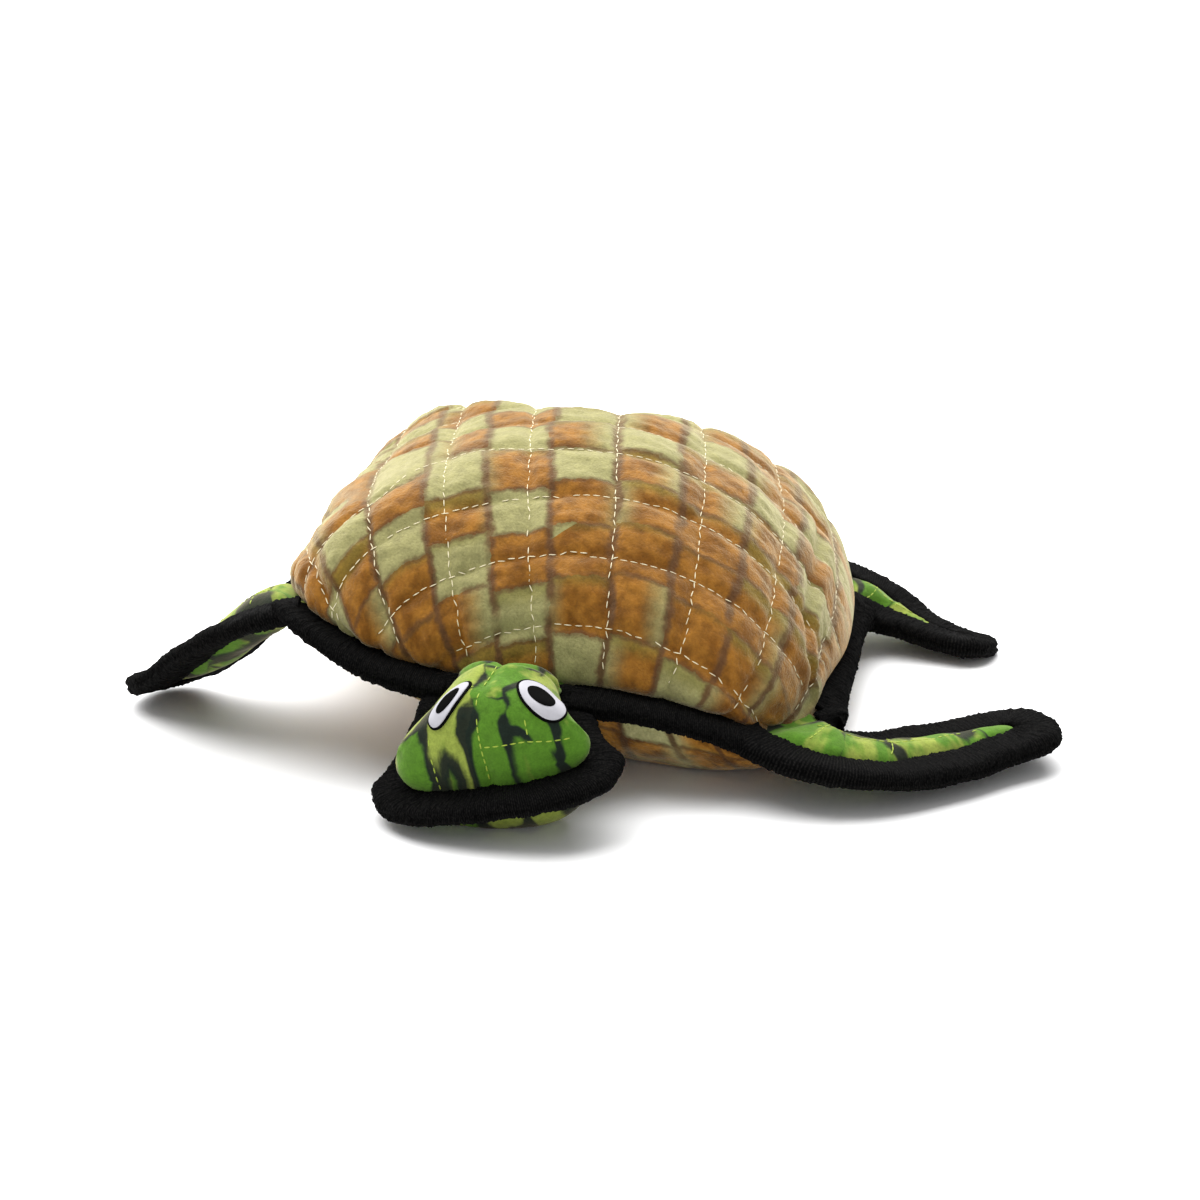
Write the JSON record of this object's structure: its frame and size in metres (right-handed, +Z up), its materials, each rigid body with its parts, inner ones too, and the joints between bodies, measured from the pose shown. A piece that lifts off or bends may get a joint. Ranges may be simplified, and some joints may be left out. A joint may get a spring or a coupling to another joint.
{
  "type": "stuffed turtle dog toy",
  "caption": "Soft stuffed sea turtle for dogs with a quilted fleece shell, black taped edges, a bending neck and flippers and a squeaker inside.",
  "frame": {"origin": "on the floor, on the flat that the belly rests on, under the middle of the shell", "axes": "+X to the turtle's left side, -Y ahead towards the head, +Z up"},
  "size_m": [0.4021, 0.338, 0.1277],
  "materials": {
    "shell_print_fleece": "short pile fleece, printed check",
    "belly_fleece": "short pile fleece, printed check",
    "green_print_fleece": "short pile fleece, printed",
    "black_binding_tape": "ribbed woven tape",
    "polyester_filling": "loose fibre",
    "pocket_cotton": "plain woven cotton",
    "squeaker_vinyl": "moulded soft vinyl",
    "reed_plastic": "moulded",
    "eye_white_felt": "smooth felt",
    "eye_black_felt": "smooth felt"
  },
  "bodies": {
    "shell": {"shell_fleece": "shell_print_fleece", "shell_wadding": "polyester_filling", "belly_fleece": "belly_fleece", "body_stuffing": "polyester_filling", "squeaker_pocket": "pocket_cotton", "squeaker_bulb": "squeaker_vinyl", "tape_left_side": "black_binding_tape", "tape_rear": "black_binding_tape", "tape_right_side": "black_binding_tape", "tape_front_right": "black_binding_tape", "tape_front_left": "black_binding_tape"},
    "head": {"head_crown_left": "green_print_fleece", "head_crown_right": "green_print_fleece", "head_chin": "green_print_fleece", "head_stuffing": "polyester_filling", "head_tape": "black_binding_tape", "eye_white_left": "eye_white_felt", "eye_white_right": "eye_white_felt", "eye_pupil_left": "eye_black_felt", "eye_pupil_right": "eye_black_felt"},
    "squeaker_reed": {"squeaker_reed": "reed_plastic"},
    "left_front_flipper": {"left_front_flipper_top": "green_print_fleece", "left_front_flipper_underside": "green_print_fleece", "left_front_flipper_stuffing": "polyester_filling", "left_front_flipper_tape": "black_binding_tape"},
    "left_rear_flipper": {"left_rear_flipper_top": "green_print_fleece", "left_rear_flipper_underside": "green_print_fleece", "left_rear_flipper_stuffing": "polyester_filling", "left_rear_flipper_tape": "black_binding_tape"},
    "right_rear_flipper": {"right_rear_flipper_top": "green_print_fleece", "right_rear_flipper_underside": "green_print_fleece", "right_rear_flipper_stuffing": "polyester_filling", "right_rear_flipper_tape": "black_binding_tape"},
    "right_front_flipper": {"right_front_flipper_top": "green_print_fleece", "right_front_flipper_underside": "green_print_fleece", "right_front_flipper_stuffing": "polyester_filling", "right_front_flipper_tape": "black_binding_tape"}
  },
  "joints": [
    {"name": "neck_nod", "type": "hinge", "parent": "shell", "child": "head", "pos_m": [-0.01128, -0.10815, 0.03883], "axis": [-0.9992, 0.0018, 0.0395], "range_deg": [-30, 20], "stiffness_Nm_per_rad": 0.5},
    {"name": "left_front_flipper_bend", "type": "hinge", "parent": "shell", "child": "left_front_flipper", "pos_m": [0.09956, -0.08277, 0.02002], "axis": [-0.6017, -0.7874, 0.1343], "range_deg": [-25, 35], "stiffness_Nm_per_rad": 0.25},
    {"name": "left_rear_flipper_bend", "type": "hinge", "parent": "shell", "child": "left_rear_flipper", "pos_m": [0.10715, 0.08147, 0.02329], "axis": [0.4124, -0.9006, -0.1371], "range_deg": [-20, 35], "stiffness_Nm_per_rad": 0.25},
    {"name": "right_rear_flipper_bend", "type": "hinge", "parent": "shell", "child": "right_rear_flipper", "pos_m": [-0.09994, 0.08841, 0.05643], "axis": [0.6115, 0.7795, -0.1362], "range_deg": [-2, 35], "stiffness_Nm_per_rad": 0.25},
    {"name": "right_front_flipper_bend", "type": "hinge", "parent": "shell", "child": "right_front_flipper", "pos_m": [-0.11186, -0.06115, 0.05744], "axis": [-0.1884, 0.9758, -0.111], "range_deg": [-30, 35], "stiffness_Nm_per_rad": 0.25},
    {"name": "squeaker_press", "type": "slide", "parent": "shell", "child": "squeaker_reed", "axis": [0, 0, 1], "range_m": [0, 0.006], "stiffness_N_per_m": 400, "deforming": ["squeaker_bulb"]}
  ]
}
